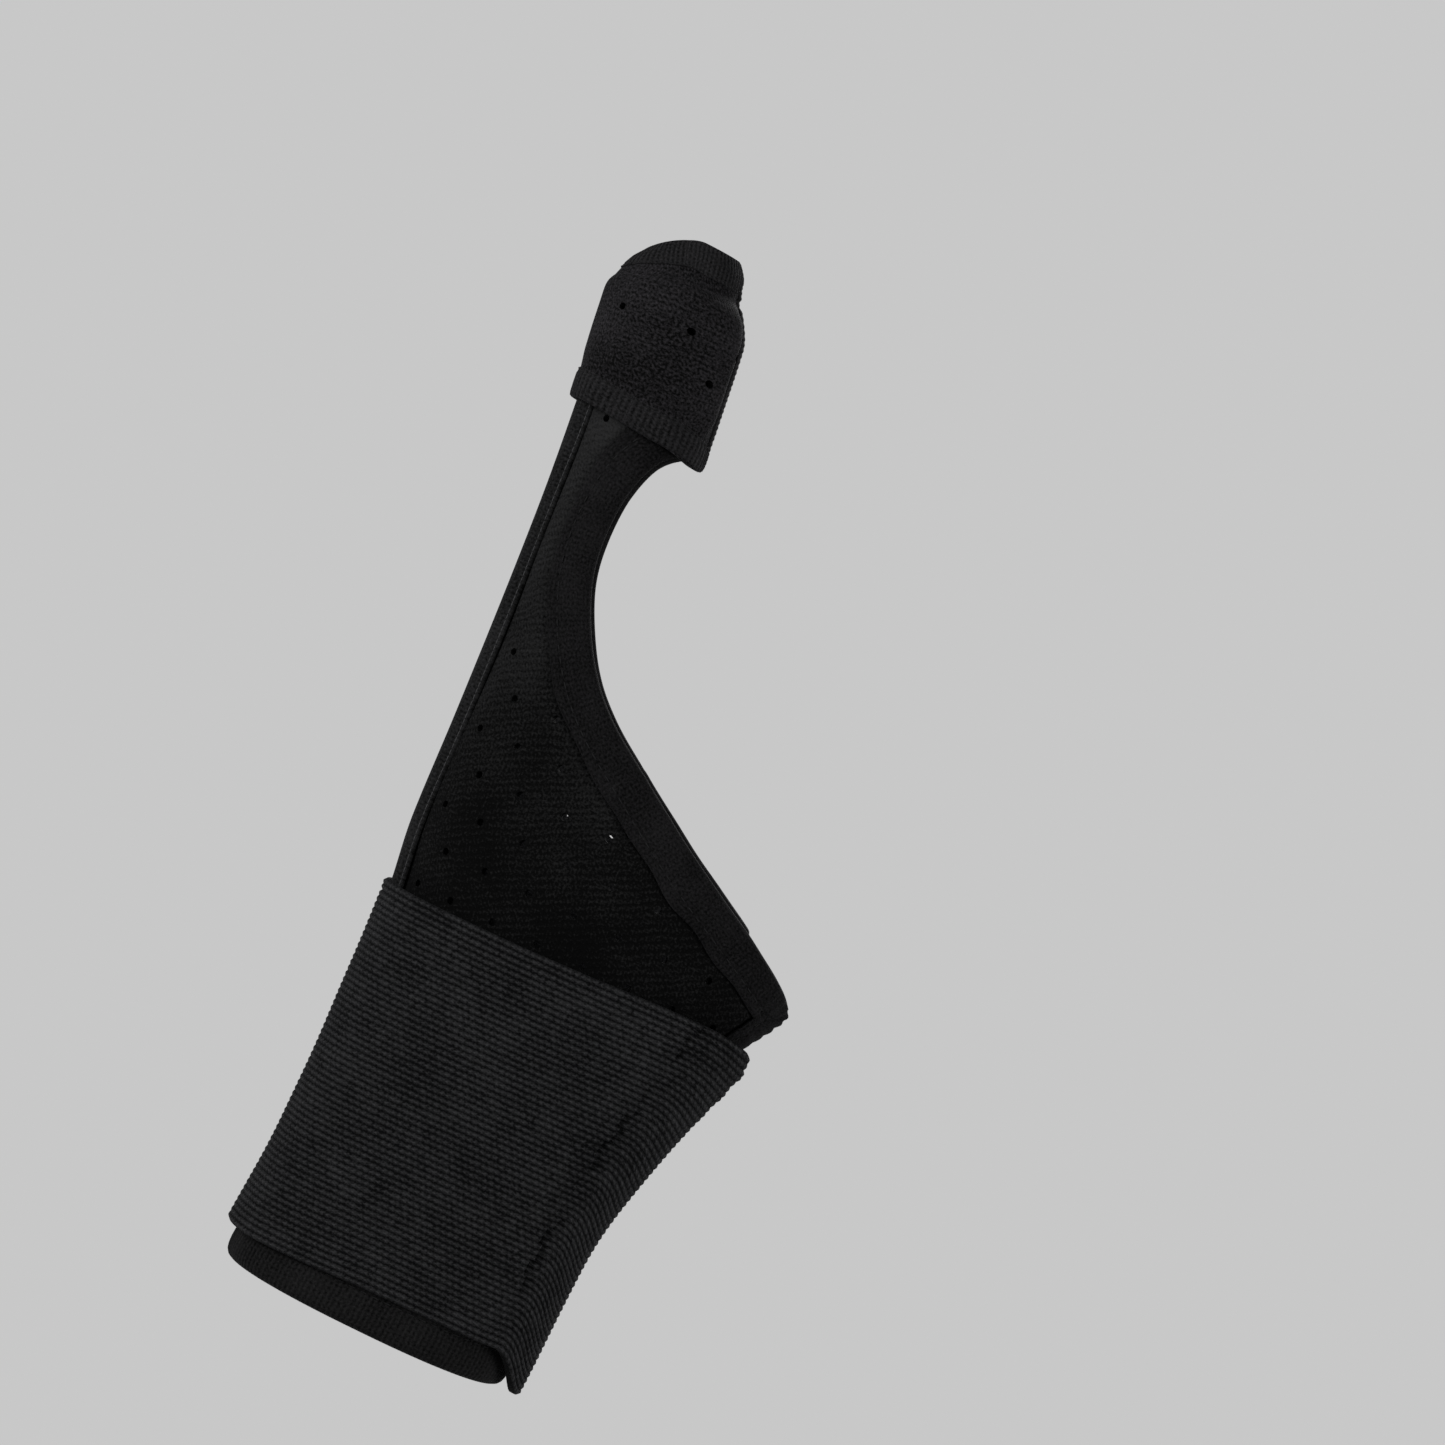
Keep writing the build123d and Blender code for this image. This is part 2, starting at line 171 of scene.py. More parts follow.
# meshes
def newObject(name, verts, faces, uvs, material, recalc=True):
    mesh = bpy.data.meshes.new(name)
    mesh.from_pydata(verts.tolist(), [], faces if isinstance(faces, list) else faces.tolist())
    layer = mesh.uv_layers.new(name="surface")
    loopVerts = np.zeros(len(mesh.loops), int)
    mesh.loops.foreach_get("vertex_index", loopVerts)
    layer.data.foreach_set("uv", uvs[loopVerts].astype(np.float32).ravel())
    if recalc:
        work = bmesh.new()
        work.from_mesh(mesh)
        bmesh.ops.recalc_face_normals(work, faces=work.faces)
        work.to_mesh(mesh)
        work.free()
    mesh.shade_smooth()
    mesh.set_sharp_from_angle(angle=math.radians(50))
    obj = bpy.data.objects.new(name, mesh)
    bpy.context.scene.collection.objects.link(obj)
    obj.data.materials.append(material)
    return obj


# a closed sheet between two grids of points; cells that aren't kept leave walled openings
def shell(name, outer, inner, keep, uv, material):
    rows, columns = outer.shape[:2]
    index = np.arange(rows * columns).reshape(rows, columns)
    under = index + rows * columns
    i, j = np.nonzero(keep)
    a, b, c, d = index[i, j], index[i, j + 1], index[i + 1, j + 1], index[i + 1, j]
    e, f, g, h = under[i, j], under[i, j + 1], under[i + 1, j + 1], under[i + 1, j]
    faces = [np.stack([a, b, c, d], 1), np.stack([h, g, f, e], 1)]
    framed = np.pad(keep, 1)
    sides = ((-1, 0, (b, a, e, f)), (0, 1, (c, b, f, g)), (1, 0, (d, c, g, h)), (0, -1, (a, d, h, e)))
    for di, dj, walls in sides:
        bare = ~framed[i + 1 + di, j + 1 + dj]
        faces.append(np.stack([w[bare] for w in walls], 1))
    faces = np.vstack(faces)
    used, compact = np.unique(faces, return_inverse=True)
    points = np.vstack([outer.reshape(-1, 3), inner.reshape(-1, 3)])[used]
    uvs = np.tile(uv.reshape(-1, 2), (2, 1))[used]
    return newObject(name, points, compact.reshape(faces.shape), uvs, material)


# a closed skin over a row of rings, capped at both ends unless it closes on itself
def band(name, sections, uvAlong, uvAcross, material, loop=False):
    count, ring = sections.shape[:2]
    index = np.arange(count * ring).reshape(count, ring)
    ahead = np.roll(index, -1, 0) if loop else index[1:]
    here = index if loop else index[:-1]
    side = np.stack([here, np.roll(here, -1, 1), np.roll(ahead, -1, 1), ahead], -1).reshape(-1, 4)
    faces = side.tolist()
    if not loop:
        faces += [index[0, ::-1].tolist(), index[-1].tolist()]
    uv = np.stack(np.broadcast_arrays(uvAlong[:, None], uvAcross[None, :]), -1).reshape(-1, 2)
    return newObject(name, sections.reshape(-1, 3), faces, uv, material)


# shader maths
# a socket in a material, with the operators its maths needs
class Value:
    def __init__(self, maker, socket):
        self.maker, self.socket = maker, socket

    def math(self, operation, *others):
        return self.maker.add("ShaderNodeMath", dict(operation=operation), dict(enumerate((self, *others))))

    def __add__(self, other):
        return self.math("ADD", other)

    def __sub__(self, other):
        return self.math("SUBTRACT", other)

    def __rsub__(self, other):
        return self.maker.add("ShaderNodeMath", dict(operation="SUBTRACT"), {0: other, 1: self})

    def __mul__(self, other):
        return self.math("MULTIPLY", other)

    __radd__, __rmul__ = __add__, __mul__


# builds one material
class Finish:
    def __init__(self, name, **constants):
        self.material = bpy.data.materials.new(name)
        self.material.use_nodes = True
        self.tree = self.material.node_tree
        self.tree.nodes.clear()
        self.shader = self.tree.nodes.new("ShaderNodeBsdfPrincipled")
        output = self.tree.nodes.new("ShaderNodeOutputMaterial")
        self.tree.links.new(self.shader.outputs[0], output.inputs["Surface"])
        for socket, value in constants.items():
            self.shader.inputs[socket.replace("_", " ")].default_value = value

    def add(self, kind, settings=None, inputs=None, output=0):
        node = self.tree.nodes.new(kind)
        for key, value in (settings or {}).items():
            if key == "stops":
                ramp = node.color_ramp.elements
                for k, (position, grey) in enumerate(value):
                    element = ramp[k] if k < 2 else ramp.new(position)
                    element.position, element.color = position, (grey, grey, grey, 1)
            else:
                setattr(node, key, value)
        for key, value in (inputs or {}).items():
            if isinstance(value, Value):
                self.tree.links.new(value.socket, node.inputs[key])
            else:
                node.inputs[key].default_value = value
        return Value(self, node.outputs[output])

    # millimetres along and across the cloth, or through a piece that has no map of its own
    def surface(self, ownMap=True):
        if ownMap:
            place = self.add("ShaderNodeUVMap", dict(uv_map="surface"))
        else:
            metres = self.add("ShaderNodeTexCoord", None, None, 3)
            place = self.add("ShaderNodeMapping", None, {"Vector": metres, "Scale": (1000, 1000, 1000)})
        split = self.add("ShaderNodeSeparateXYZ", None, {0: place}).socket.node.outputs
        x, y, z = (Value(self, split[k]) for k in range(3))
        return (place, x, y) if ownMap else (place, x + y * 0.7, z)

    def noise(self, vector, scale, detail=2.0, rough=0.5):
        inputs = {"Vector": vector, "Scale": scale, "Detail": detail, "Roughness": rough}
        return self.add("ShaderNodeTexNoise", None, inputs)

    # 0 to 1 and back, once per unit of phase
    def wave(self, phase):
        return (phase * (2 * math.pi)).math("SINE") * 0.5 + 0.5

    def mix(self, share, dark, light):
        return self.add("ShaderNodeMix", dict(data_type="RGBA"), {0: share, 6: (*dark, 1), 7: (*light, 1)}, 2)

    def done(self, colour=None, rough=None, height=None, depth=0.1):
        if colour is not None:
            self.tree.links.new(colour.socket, self.shader.inputs["Base Color"])
        if rough is not None:
            self.tree.links.new(rough.socket, self.shader.inputs["Roughness"])
        if height is not None:
            relief = {"Strength": 1.0, "Distance": depth * mm, "Height": height}
            bump = self.add("ShaderNodeBump", None, relief)
            self.tree.links.new(bump.socket, self.shader.inputs["Normal"])
        return self.material


cloth = dict(Specular_IOR_Level=0.03, Sheen_Weight=0.01, Sheen_Roughness=0.5, Sheen_Tint=(0.6, 0.6, 0.65, 1))


# fine knit: courses at the grain's angle, crossed by faint wales, with slubs and worn fuzz, and an optional
# painted shade ramp with height
def knitFinish(name, settings):
    f = Finish(name, **cloth)
    uv, u, v = f.surface(settings.get("ownMap", True))
    c, s = math.cos(math.radians(settings["grain"])), math.sin(math.radians(settings["grain"]))
    along, across = u * c + v * s, v * c - u * s
    drift = f.noise(uv, 0.12, 3.0) * 2.4
    courses = f.wave(across * (1 / settings["course"]) + drift * 0.6)
    wales = f.wave(along * (1 / settings["wale"]) + f.wave(across * (0.5 / settings["course"])) * 0.5)
    fuzz = f.noise(uv, 2.1, 3.0, 0.65)
    patches = f.noise(uv, 0.07, 3.0)
    height = courses * settings["line"] + wales * 0.2 + fuzz * 0.9
    # painted shade: the colour darkens below the given height and lightens above it, standing in for how the
    # light falls
    paintedShadeRamp = (v - settings["paintedShadeRamp"][0]) * settings["paintedShadeRamp"][1]
    share = courses * settings["line"] * 0.55 + fuzz * 2.4 + patches * 0.8 + wales * 0.1 - 1.45 + paintedShadeRamp
    colour = f.mix(share.math("MINIMUM", 1.0).math("MAXIMUM", 0.0), settings["dark"], settings["light"])
    return f.done(colour, 0.8 + fuzz * 0.18, height, settings["depth"])


# woven elastic: each rib is a row of plaited beads, with dark channels between the ribs
def elasticFinish(name, settings):
    f = Finish(name, **cloth)
    uv, u, v = f.surface(settings.get("ownMap", True))
    row = v * (1 / settings["pitch"])
    rib = 1 - ((row - row.math("FLOOR")) * 2 - 1).math("ABSOLUTE")
    side = (rib - 0.5).math("ABSOLUTE") * settings["slant"]
    bead = f.wave(u * (1 / settings["bead"]) + row.math("FLOOR") * 0.5 + side)
    dash = f.add("ShaderNodeCombineXYZ", None, {0: u * 0.7, 1: row.math("FLOOR") * 3.7})
    dashes = f.noise(dash, 1.0, 2.0)
    fuzz = f.noise(uv, 2.3, 3.0, 0.65)
    patches = f.noise(uv, 0.09, 3.0)
    ridge = rib.math("POWER", 0.8)
    height = ridge * (bead * 0.45 + 0.55) + fuzz * 0.5
    share = ridge * (bead * 0.5 + 0.45) + dashes * 0.8 + fuzz * 1.7 + patches * 0.5 - 1.56
    colour = f.mix(share.math("MINIMUM", 1.0).math("MAXIMUM", 0.0), settings["dark"], settings["light"])
    return f.done(colour, 0.78 + fuzz * 0.2, height, settings["depth"])


# ribbed tape: fine cords across its length
def tapeFinish(name, settings):
    f = Finish(name, **cloth)
    uv, u, v = f.surface(settings.get("ownMap", True))
    cords = f.wave(u * (1 / settings["pitch"]))
    threads = f.wave(v * (1 / settings["thread"]) + cords * 0.3)
    fuzz = f.noise(uv, 2.2, 3.0, 0.65)
    patches = f.noise(uv, 0.1, 3.0)
    height = cords * settings["cord"] + threads * 0.2 + fuzz * 0.7
    share = cords * settings["cord"] * 0.45 + threads * 0.1 + fuzz * 1.9 + patches * 0.7 - 1.1
    colour = f.mix(share.math("MINIMUM", 1.0).math("MAXIMUM", 0.0), settings["dark"], settings["light"])
    return f.done(colour, 0.8 + fuzz * 0.18, height, settings["depth"])


# moulded or drawn stock, in Object coordinates
def plainFinish(name, dark, light, rough, scale, **constants):
    f = Finish(name, **constants)
    place = f.add("ShaderNodeTexCoord", None, None, 3)
    grain = f.noise(f.add("ShaderNodeMapping", None, {"Vector": place, "Scale": scale}), 1.0, 4.0)
    return f.done(f.mix(grain, dark, light), grain * 0.25 + rough, grain, 0.02)


# the panel knit carries painted shade: darker towards the bottom, lighter towards the top
panelKnit = knitFinish("panelKnit", dict(grain=26, course=1.35, wale=0.75, line=0.36, depth=0.2,
                                         paintedShadeRamp=(116, 0.0095),
                                         dark=(0.0004, 0.0004, 0.0004), light=(0.0112, 0.0112, 0.0114)))
wrapKnit = knitFinish("wrapKnit", dict(grain=8, course=1.1, wale=0.6, line=0.2, depth=0.2, paintedShadeRamp=(0, 0),
                                       dark=(0.0004, 0.0004, 0.0004), light=(0.02, 0.0188, 0.0207)))
liningLook = dict(grain=0, course=0.8, wale=0.8, line=0.3, depth=0.12, paintedShadeRamp=(0, 0),
                  dark=(0.003, 0.003, 0.0033), light=(0.02, 0.02, 0.021))
liningCloth = knitFinish("liningCloth", liningLook)
sleeveCloth = knitFinish("sleeveCloth", dict(liningLook, ownMap=False))
elasticLook = dict(pitch=1.12, bead=1.2, slant=0.9, depth=0.3,
                   dark=(0.0008, 0.0008, 0.0009), light=(0.02, 0.0201, 0.0209))
elasticWeave = elasticFinish("elasticWeave", elasticLook)
bindingLook = dict(pitch=0.9, thread=0.7, cord=0.25, depth=0.15,
                   dark=(0.0004, 0.0004, 0.0004), light=(0.0098, 0.0094, 0.01))
bindingTape = tapeFinish("bindingTape", bindingLook)
rimTape = tapeFinish("rimTape", dict(bindingLook, ownMap=False))
ribbedTape = tapeFinish("ribbedTape", dict(pitch=1.05, thread=0.8, cord=0.6, depth=0.18,
                                           dark=(0.0008, 0.0008, 0.0008), light=(0.0165, 0.016, 0.017)))
hemTape = tapeFinish("hemTape", dict(pitch=1.0, thread=0.8, cord=0.6, depth=0.18,
                                     dark=(0.0004, 0.0004, 0.0004), light=(0.0092, 0.009, 0.0092)))
coverLook = dict(pitch=0.8, thread=0.8, cord=0.3, depth=0.12,
                 dark=(0.0008, 0.0008, 0.0008), light=(0.015, 0.015, 0.0155))
coverTape = tapeFinish("coverTape", coverLook)
anchorTape = tapeFinish("anchorTape", dict(coverLook, ownMap=False))
loopPile = knitFinish("loopPile", dict(grain=45, course=0.9, wale=0.9, line=0.2, depth=0.3, paintedShadeRamp=(0, 0),
                                       ownMap=False, dark=(0.001, 0.001, 0.001),
                                       light=(0.016, 0.016, 0.016)))
hookPlastic = plainFinish("hookPlastic", (0.004, 0.004, 0.0042), (0.009, 0.009, 0.0092), 0.4, (900, 900, 900),
                          Specular_IOR_Level=0.3)
threadScale = (2200, 2200, 900)
sewingThread = plainFinish("sewingThread", (0.003, 0.003, 0.0031), (0.009, 0.009, 0.0094), 0.7, threadScale,
                           Specular_IOR_Level=0.06)
# painted highlight: this thread is coloured pale to stand in for the cover tape's edge catching the light
paintedHighlightThread = plainFinish("paintedHighlightThread", (0.012, 0.012, 0.0125), (0.034, 0.034, 0.036), 0.7, threadScale,
                         Specular_IOR_Level=0.2)
stayMetal = plainFinish("stayMetal", (0.62, 0.63, 0.64), (0.78, 0.79, 0.8), 0.28, (2500, 2500, 40),
                        Metallic=1.0)
tipPlastic = plainFinish("tipPlastic", (0.02, 0.02, 0.02), (0.03, 0.03, 0.03), 0.6, (300, 300, 300),
                         Specular_IOR_Level=0.2)
print("finishes made")


# panels, with punched holes and a bound edge
cloths = dict(cell=0.75, holeEvery=(12, 20), holeRadius=0.72, ripple=0.28, seamInset=2.6)
edgeStep = 0.5


# gentle waves from a few fixed sines
def smoothNoise(a, b, seed, scale):
    draw = np.random.default_rng(seed)
    total = 0
    for k in range(7):
        angle = draw.uniform(0, 2 * math.pi)
        size = draw.uniform(0.6, 1.7)
        phase = draw.uniform(0, 2 * math.pi)
        place = a * math.cos(angle) + b * math.sin(angle)
        total = total + np.sin(place * size / scale * 2 * math.pi + phase) / size
    return total / 4


# the turn of a panel's thumb-side edge at a height
def edgeTurn(z, side):
    start = panels["dorsalTurn"] if side > 0 else panels["palmarTurn"]
    stop = 360 - panels["sleeveTurn"] if side > 0 else panels["sleeveTurn"]
    return start + (stop - start) * ease(z, 146, 168)


freeCurve = smoothCurve(freeEdge, 0.4)


# the bound edge as points (length round the limb, height), from the hem to the finger
def boundEdge(side):
    z = np.arange(panels["hem"] - 0.6, 167.6, 0.4)
    turns = np.arange(180, 361, 1.0) if side > 0 else np.arange(180, -1, -1.0)
    x = skin(z[:, None], turns[None, :], boundLift)[..., 0] / mm
    freeX = np.interp(z, freeCurve[:, 1], freeCurve[:, 0])
    cut = np.array([np.interp(wanted, row, turns) for wanted, row in zip(freeX, x)])
    turn = np.where(z < freeEdge[0][1], edgeTurn(z, side), cut)
    turn = np.minimum(turn, edgeTurn(z, side)) if side > 0 else np.maximum(turn, edgeTurn(z, side))
    return resample(np.stack([np.abs(arcAt(z, turn)), z], 1), edgeStep)


# opens round holes in a grid: the cells round a grid point go, and the ring round it becomes a circle
def punch(s, z, keep, every, radius, allowed):
    for row in range(every[1] // 2, s.shape[0] - 2, every[1] // 2):
        shift = (row // (every[1] // 2)) % 2 * (every[0] // 2)
        for column in range(2 + shift, s.shape[1] - 2, every[0]):
            if not allowed(s[row, column], z[row, column]):
                continue
            keep[row - 1:row + 1, column - 1:column + 1] = False
            for di in (-1, 0, 1):
                for dj in (-1, 0, 1):
                    if di or dj:
                        scale = radius / math.hypot(di, dj)
                        s[row + di, column + dj] = s[row, column] + dj * scale
                        z[row + di, column + dj] = z[row, column] + di * scale


def makePanel(name, side):
    cell = cloths["cell"]
    edge = boundEdge(side)
    heights = np.arange(0.8, panels["top"] - 0.3, cell)
    columns = np.arange(0.15, edge[:, 0].max() + 8, cell)
    z, s = [grid.copy() for grid in np.meshgrid(heights, columns, indexing="ij")]
    sleeve = np.abs(arcAt(z, edgeTurn(z, side)))
    limit = np.where(z < 167, np.interp(z, edge[:, 1], edge[:, 0]), sleeve)
    away = np.full(s.shape, 99.0)
    for k in range(0, len(edge), 2):
        away = np.minimum(away, np.hypot(s - edge[k, 0], z - edge[k, 1]))
    deep = np.where(s < limit, away, -away)
    deep = np.where((z > 168) & (s < sleeve - 0.1), 9.0, deep)
    middle = (deep[1:, 1:] + deep[:-1, :-1] + deep[1:, :-1] + deep[:-1, 1:]) / 4
    keep = middle > cloths["seamInset"]
    punch(s, z, keep, cloths["holeEvery"], cloths["holeRadius"],
          lambda a, b: np.interp(b, edge[:, 1], edge[:, 0]) - a > 12 and a > 9.5 and b > 14 and b < 184)
    turn = turnAt(z, side * s)
    tuck = 0.55 * np.exp(-((deep - 6.8) / 0.9) ** 2)
    puff = 0.35 * np.exp(-((deep - 10.0) / 2.6) ** 2) * ease(z, 76, 82)
    wave = smoothNoise(s, z, 5 + side, 34) * cloths["ripple"] * ease(deep, 6, 12)
    top = panels["thick"] + wave - tuck + puff
    uv = np.stack([side * s, z], -1)
    back = panels["lining"]
    outside = shell(f"{name}PanelCloth", skin(z, turn, top), skin(z, turn, back + 0.06 + wave),
                    keep, uv, panelKnit)
    inside = shell(f"{name}LiningCloth", skin(z, turn, back + wave), skin(z, turn, wave + 0.02),
                   keep, uv, liningCloth)
    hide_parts(f"{name}_panel")
    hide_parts(f"{name}_lining")
    for piece, slot in ((outside, "panel_fabric"), (inside, "lining")):
        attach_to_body(piece, "splint")
    keep.sum() * (cell * mm) ** 2
    return edge


cornerReach = 9.0
edgeSeam = dict(inset=5.3, lift=2.92)

# the fold's section: distance in from the edge, and lift
foldRing = [(7.0, 2.42), (7.35, 2.6), (7.3, 2.95), (6.9, 3.2), (6.2, 3.22), (5.7, 3.0), (5.3, 2.86),
            (4.9, 3.0), (4.2, 3.2), (3.2, 3.3), (2.0, 3.28), (1.0, 3.16), (0.2, 2.9), (-0.4, 2.4),
            (-0.7, 1.7), (-0.72, 0.9), (-0.5, 0.1), (0.0, -0.4), (0.8, -0.66), (2.0, -0.72), (3.6, -0.74),
            (4.9, -0.66), (5.3, -0.5), (5.7, -0.66), (6.5, -0.74), (7.1, -0.5), (7.1, -0.08), (5.0, -0.04),
            (0.9, -0.02), (0.3, 0.3), (0.1, 1.2), (0.3, 2.1), (0.9, 2.44), (5.0, 2.44)]


def unrolled(ring):
    return np.concatenate([[0], np.cumsum(np.hypot(*np.diff(np.array(ring), axis=0).T))])


# the edge's normals, pointing into the cloth, evened over a length so that corners fan out
def inward(edge, reach):
    along = np.gradient(edge, axis=0)
    normal = np.stack([-along[:, 1], along[:, 0]], 1)
    normal /= np.linalg.norm(normal, axis=1)[:, None]
    window = np.hanning(int(reach / edgeStep) * 2 + 1)
    padded = np.pad(normal, ((len(window) // 2,) * 2, (0, 0)), mode="edge")
    even = np.stack([np.convolve(padded[:, k], window / window.sum(), mode="valid") for k in (0, 1)], 1)
    return even / np.linalg.norm(even, axis=1)[:, None]


def makeEdgeBinding(name, side, edge):
    normal = inward(edge, cornerReach)
    ring = np.array(foldRing)
    length = np.arange(len(edge)) * edgeStep
    ripple = 1 + 0.05 * smoothNoise(length, length * 0, 11, 9)[:, None]
    corner = np.exp(-((edge[:, 1] - 82) / 7) ** 2)
    gather = 0.22 * corner * np.sin(length * 2 * math.pi / 2.6)
    nearSeam = np.exp(-((ring[:, 0] - edgeSeam["inset"]) / 1.2) ** 2)[None, :]
    pull = 0.12 * np.sin(length * 2 * math.pi / 3.4)[:, None] * nearSeam
    s = edge[:, [0]] + normal[:, [0]] * ring[None, :, 0] * ripple
    z = edge[:, [1]] + normal[:, [1]] * ring[None, :, 0] * ripple
    lift = ring[None, :, 1] + (gather[:, None] + pull) * np.where(ring[:, 1] > 2.5, 1, 0)[None, :]
    sections = skin(z, turnAt(z, side * s), lift)
    piece = band(f"{name}EdgeBinding", sections, length, unrolled(foldRing), bindingTape)
    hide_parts(f"{name}_edge_binding")
    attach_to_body(piece, "splint")


edges = {}
for name, side in (("dorsal", 1), ("palmar", -1)):
    edges[side] = makePanel(name, side)
    makeEdgeBinding(name, side, edges[side])
print("panels and edge bindings made")


def makeHemBinding():
    turns = np.linspace(panels["palmarTurn"] - 1.5, panels["dorsalTurn"] + 1.5, 420)
    ring = np.array(foldRing)
    z = (ring[:, 0] + 0.7) * 1.12
    along = np.abs(arcAt(np.full(turns.shape, 4.0), turns) + 200)
    lift = ring[None, :, 1] + 0.05 * np.sin(along * 2 * math.pi / 0.9)[:, None]
    sections = skin(z[None, :], turns[:, None], lift)
    piece = band("wristHemBinding", sections, along, unrolled(foldRing), hemTape)
    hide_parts("wrist_hem_binding")
    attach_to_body(piece, "splint")


def makeStayCover():
    z = np.arange(9.7, 185.1, 1.0)
    w = np.array([-6.6, -6.4, -6.1, -5.8, -5.3, -4.5, -2.5, 0, 2.5, 4.5, 5.3, 5.8, 6.1, 6.4, 6.6])
    top = np.array([0.62, 0.85, 0.9, 0.74, 1.1, 1.8, 1.9, 1.92, 1.9, 1.8, 1.1, 0.74, 0.9, 0.85, 0.62])
    under = np.array([0.25, 0.3, 0.3, 0.25, 0.4, 1.4, 1.6, 1.62, 1.6, 1.4, 0.4, 0.25, 0.3, 0.3, 0.25])
    ring = np.concatenate([w, w[::-1]])
    lift = panels["thick"] + np.concatenate([top, under[::-1]])
    wave = 0.06 * np.sin(z * 2 * math.pi / 3.1)[:, None] * np.exp(-((np.abs(ring) - 5.7) / 0.8) ** 2)[None, :]
    turn = turnAt(z[:, None], ring[None, :])
    piece = band("stayCoverTape", skin(z[:, None], turn, lift[None, :] + wave), z, ring, coverTape)
    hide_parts("stay_cover")
    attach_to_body(piece, "splint")


makeHemBinding()
makeStayCover()

# wrist strap
strap = dict(low=7.5, high=74.5, thick=1.2, anchor=-36.0, cuts=(205.0, 261.0), root=232.0, rootReach=6.0,
             bend=290.0, bendReach=7.0, end=357.0, corner=8.0, pitch=1.12, rib=0.26, seam=(317.5, 312.0),
             hook=(317.0, 342.5), hookHeights=(11.5, 70.5), hookThick=0.8, loopThick=0.7)
coverLift = panels["thick"] + panels["seat"] + panels["bond"] + 1.0 + panels["seat"] + 0.4
parting = 0.3
strapRest = boundLift + panels["seat"]
loopBase = boundLift + parting
hookBase = loopBase + strap["loopThick"] + parting
strapStack = hookBase + strap["hookThick"] + panels["bond"]
anchorLift = -panels["bond"] - panels["tape"] - 2 * parting - strap["thick"]


def strapInner(turn):
    rest = anchorLift + (strapRest - anchorLift) * ease(turn, 4, panels["palmarTurn"] - 5)
    overStay = 1 - ease(np.abs(turn - 180), 32, 52)
    onPatches = ease(turn, strap["bend"], strap["hook"][0] - 3)
    return rest + (coverLift + panels["seat"] - strapRest) * overStay + (strapStack - strapRest) * onPatches


# the lower edge: it droops where the strap's end and the slack beside the cuff meet
def strapLow(turn):
    slack = ease(turn, -30, -6) * (1 - ease(turn, 12, 50)) + ease(turn, 318, 348)
    return strap["low"] - 1.6 * (1 - ease(np.abs(turn - 200), 10, 80)) - 7.2 * slack


def strapHigh(turn):
    return strap["high"] - 0.7 * (1 - ease(np.abs(turn - 200), 10, 90)) + 1.3 * ease(turn, 250, 322)


def makeStrapPiece(name, start, stop, spacing=0.9):
    samples = 6
    ribs = round((strap["high"] - strap["low"]) / strap["pitch"])
    phase = np.arange(ribs * samples + 1) / samples
    v = phase / ribs
    middle = np.array([(strap["low"] + strap["high"]) / 2])
    length = abs(arcAt(middle, stop) - arcAt(middle, start))[0]
    count = int(length / spacing)
    u = np.linspace(0, 1, count + 1)
    turn = start + (stop - start) * u[None, :] + 0 * v[:, None]
    z = strapLow(turn) + (strapHigh(turn) - strapLow(turn)) * v[:, None]
    tail = stop == strap["end"]
    if tail:
        corner = np.clip(1 - (strapHigh(turn[0, -1]) - z[:, -1]) / strap["corner"], 0, 1)
        setback = strap["corner"] * (1 - np.sqrt(1 - 0.985 * corner**2))
        last = turnAt(z[:, -1], arcAt(z[:, -1], turn[:, -1]) - setback)
        turn = start + (last[:, None] - start) * u[None, :]
    seam = strap["seam"][0] + (strap["seam"][1] - strap["seam"][0]) * v[:, None]
    z = z - 2.6 * ease(turn, seam + 2, strap["end"]) * v[:, None] ** 0.7
    arcs = arcAt(z, turn)
    rib = 1 - np.abs(2 * (phase % 1) - 1)
    slope = strap["rib"] * (rib ** 0.7 - 0.6)
    wave = 0.14 * smoothNoise(arcs, z, 21, 26)
    tooth = np.sign(np.sin(z * 2 * math.pi / 6.2))
    groove = 1.05 * np.exp(-((turn - seam - 0.9 * tooth) / 0.8) ** 2) * ease(v, 0.02, 0.08)[:, None]
    beyond = ease(turn, seam, seam + 4) * (1 - ease(turn, 348, 357))
    gathers = 0.22 * beyond * np.sin(v * ribs * math.pi * 0.5)[:, None] * ease(v, 0.72, 0.95)[:, None]
    bulge = np.where(turn > 300, 0.45 * beyond - groove + gathers, 0)
    selvedge = 0.3 * (ease(v, 0.0, 0.01) * (1 - ease(v, 0.99, 1.0)) - 1)[:, None]
    ditch = -0.22 * np.exp(-((v - 0.967) / 0.006) ** 2)[:, None]
    outer = strapInner(turn) + strap["thick"] + slope[:, None] + wave + bulge + selvedge + ditch
    inner = strapInner(turn) + 0.05 + wave - 0.1 * (slope[:, None] / strap["rib"])
    if tail:
        thin = (1 - ease(u, 0.93, 1.0))[None, :] ** 0.5
        outer = inner + (outer - inner) * (0.35 + 0.65 * thin)
    uv = np.stack(np.broadcast_arrays(arcs, (phase * strap["pitch"])[:, None]), -1)
    keep = np.ones((len(v) - 1, count), bool)
    piece = shell(name, skin(z, turn, outer), skin(z, turn, inner), keep, uv, elasticWeave)
    return piece, (strap["high"] - strap["low"]) * mm, length * mm


# two points on a cloth, a reach either side of a hinge
def hingeSpan(turn, reach, low, high, lift):
    middle = np.array([(low + high) / 2])
    arc = arcAt(middle, turn)
    return [tuple(skin(middle, turnAt(middle, arc + side * reach), lift)[0]) for side in (-1, 1)]


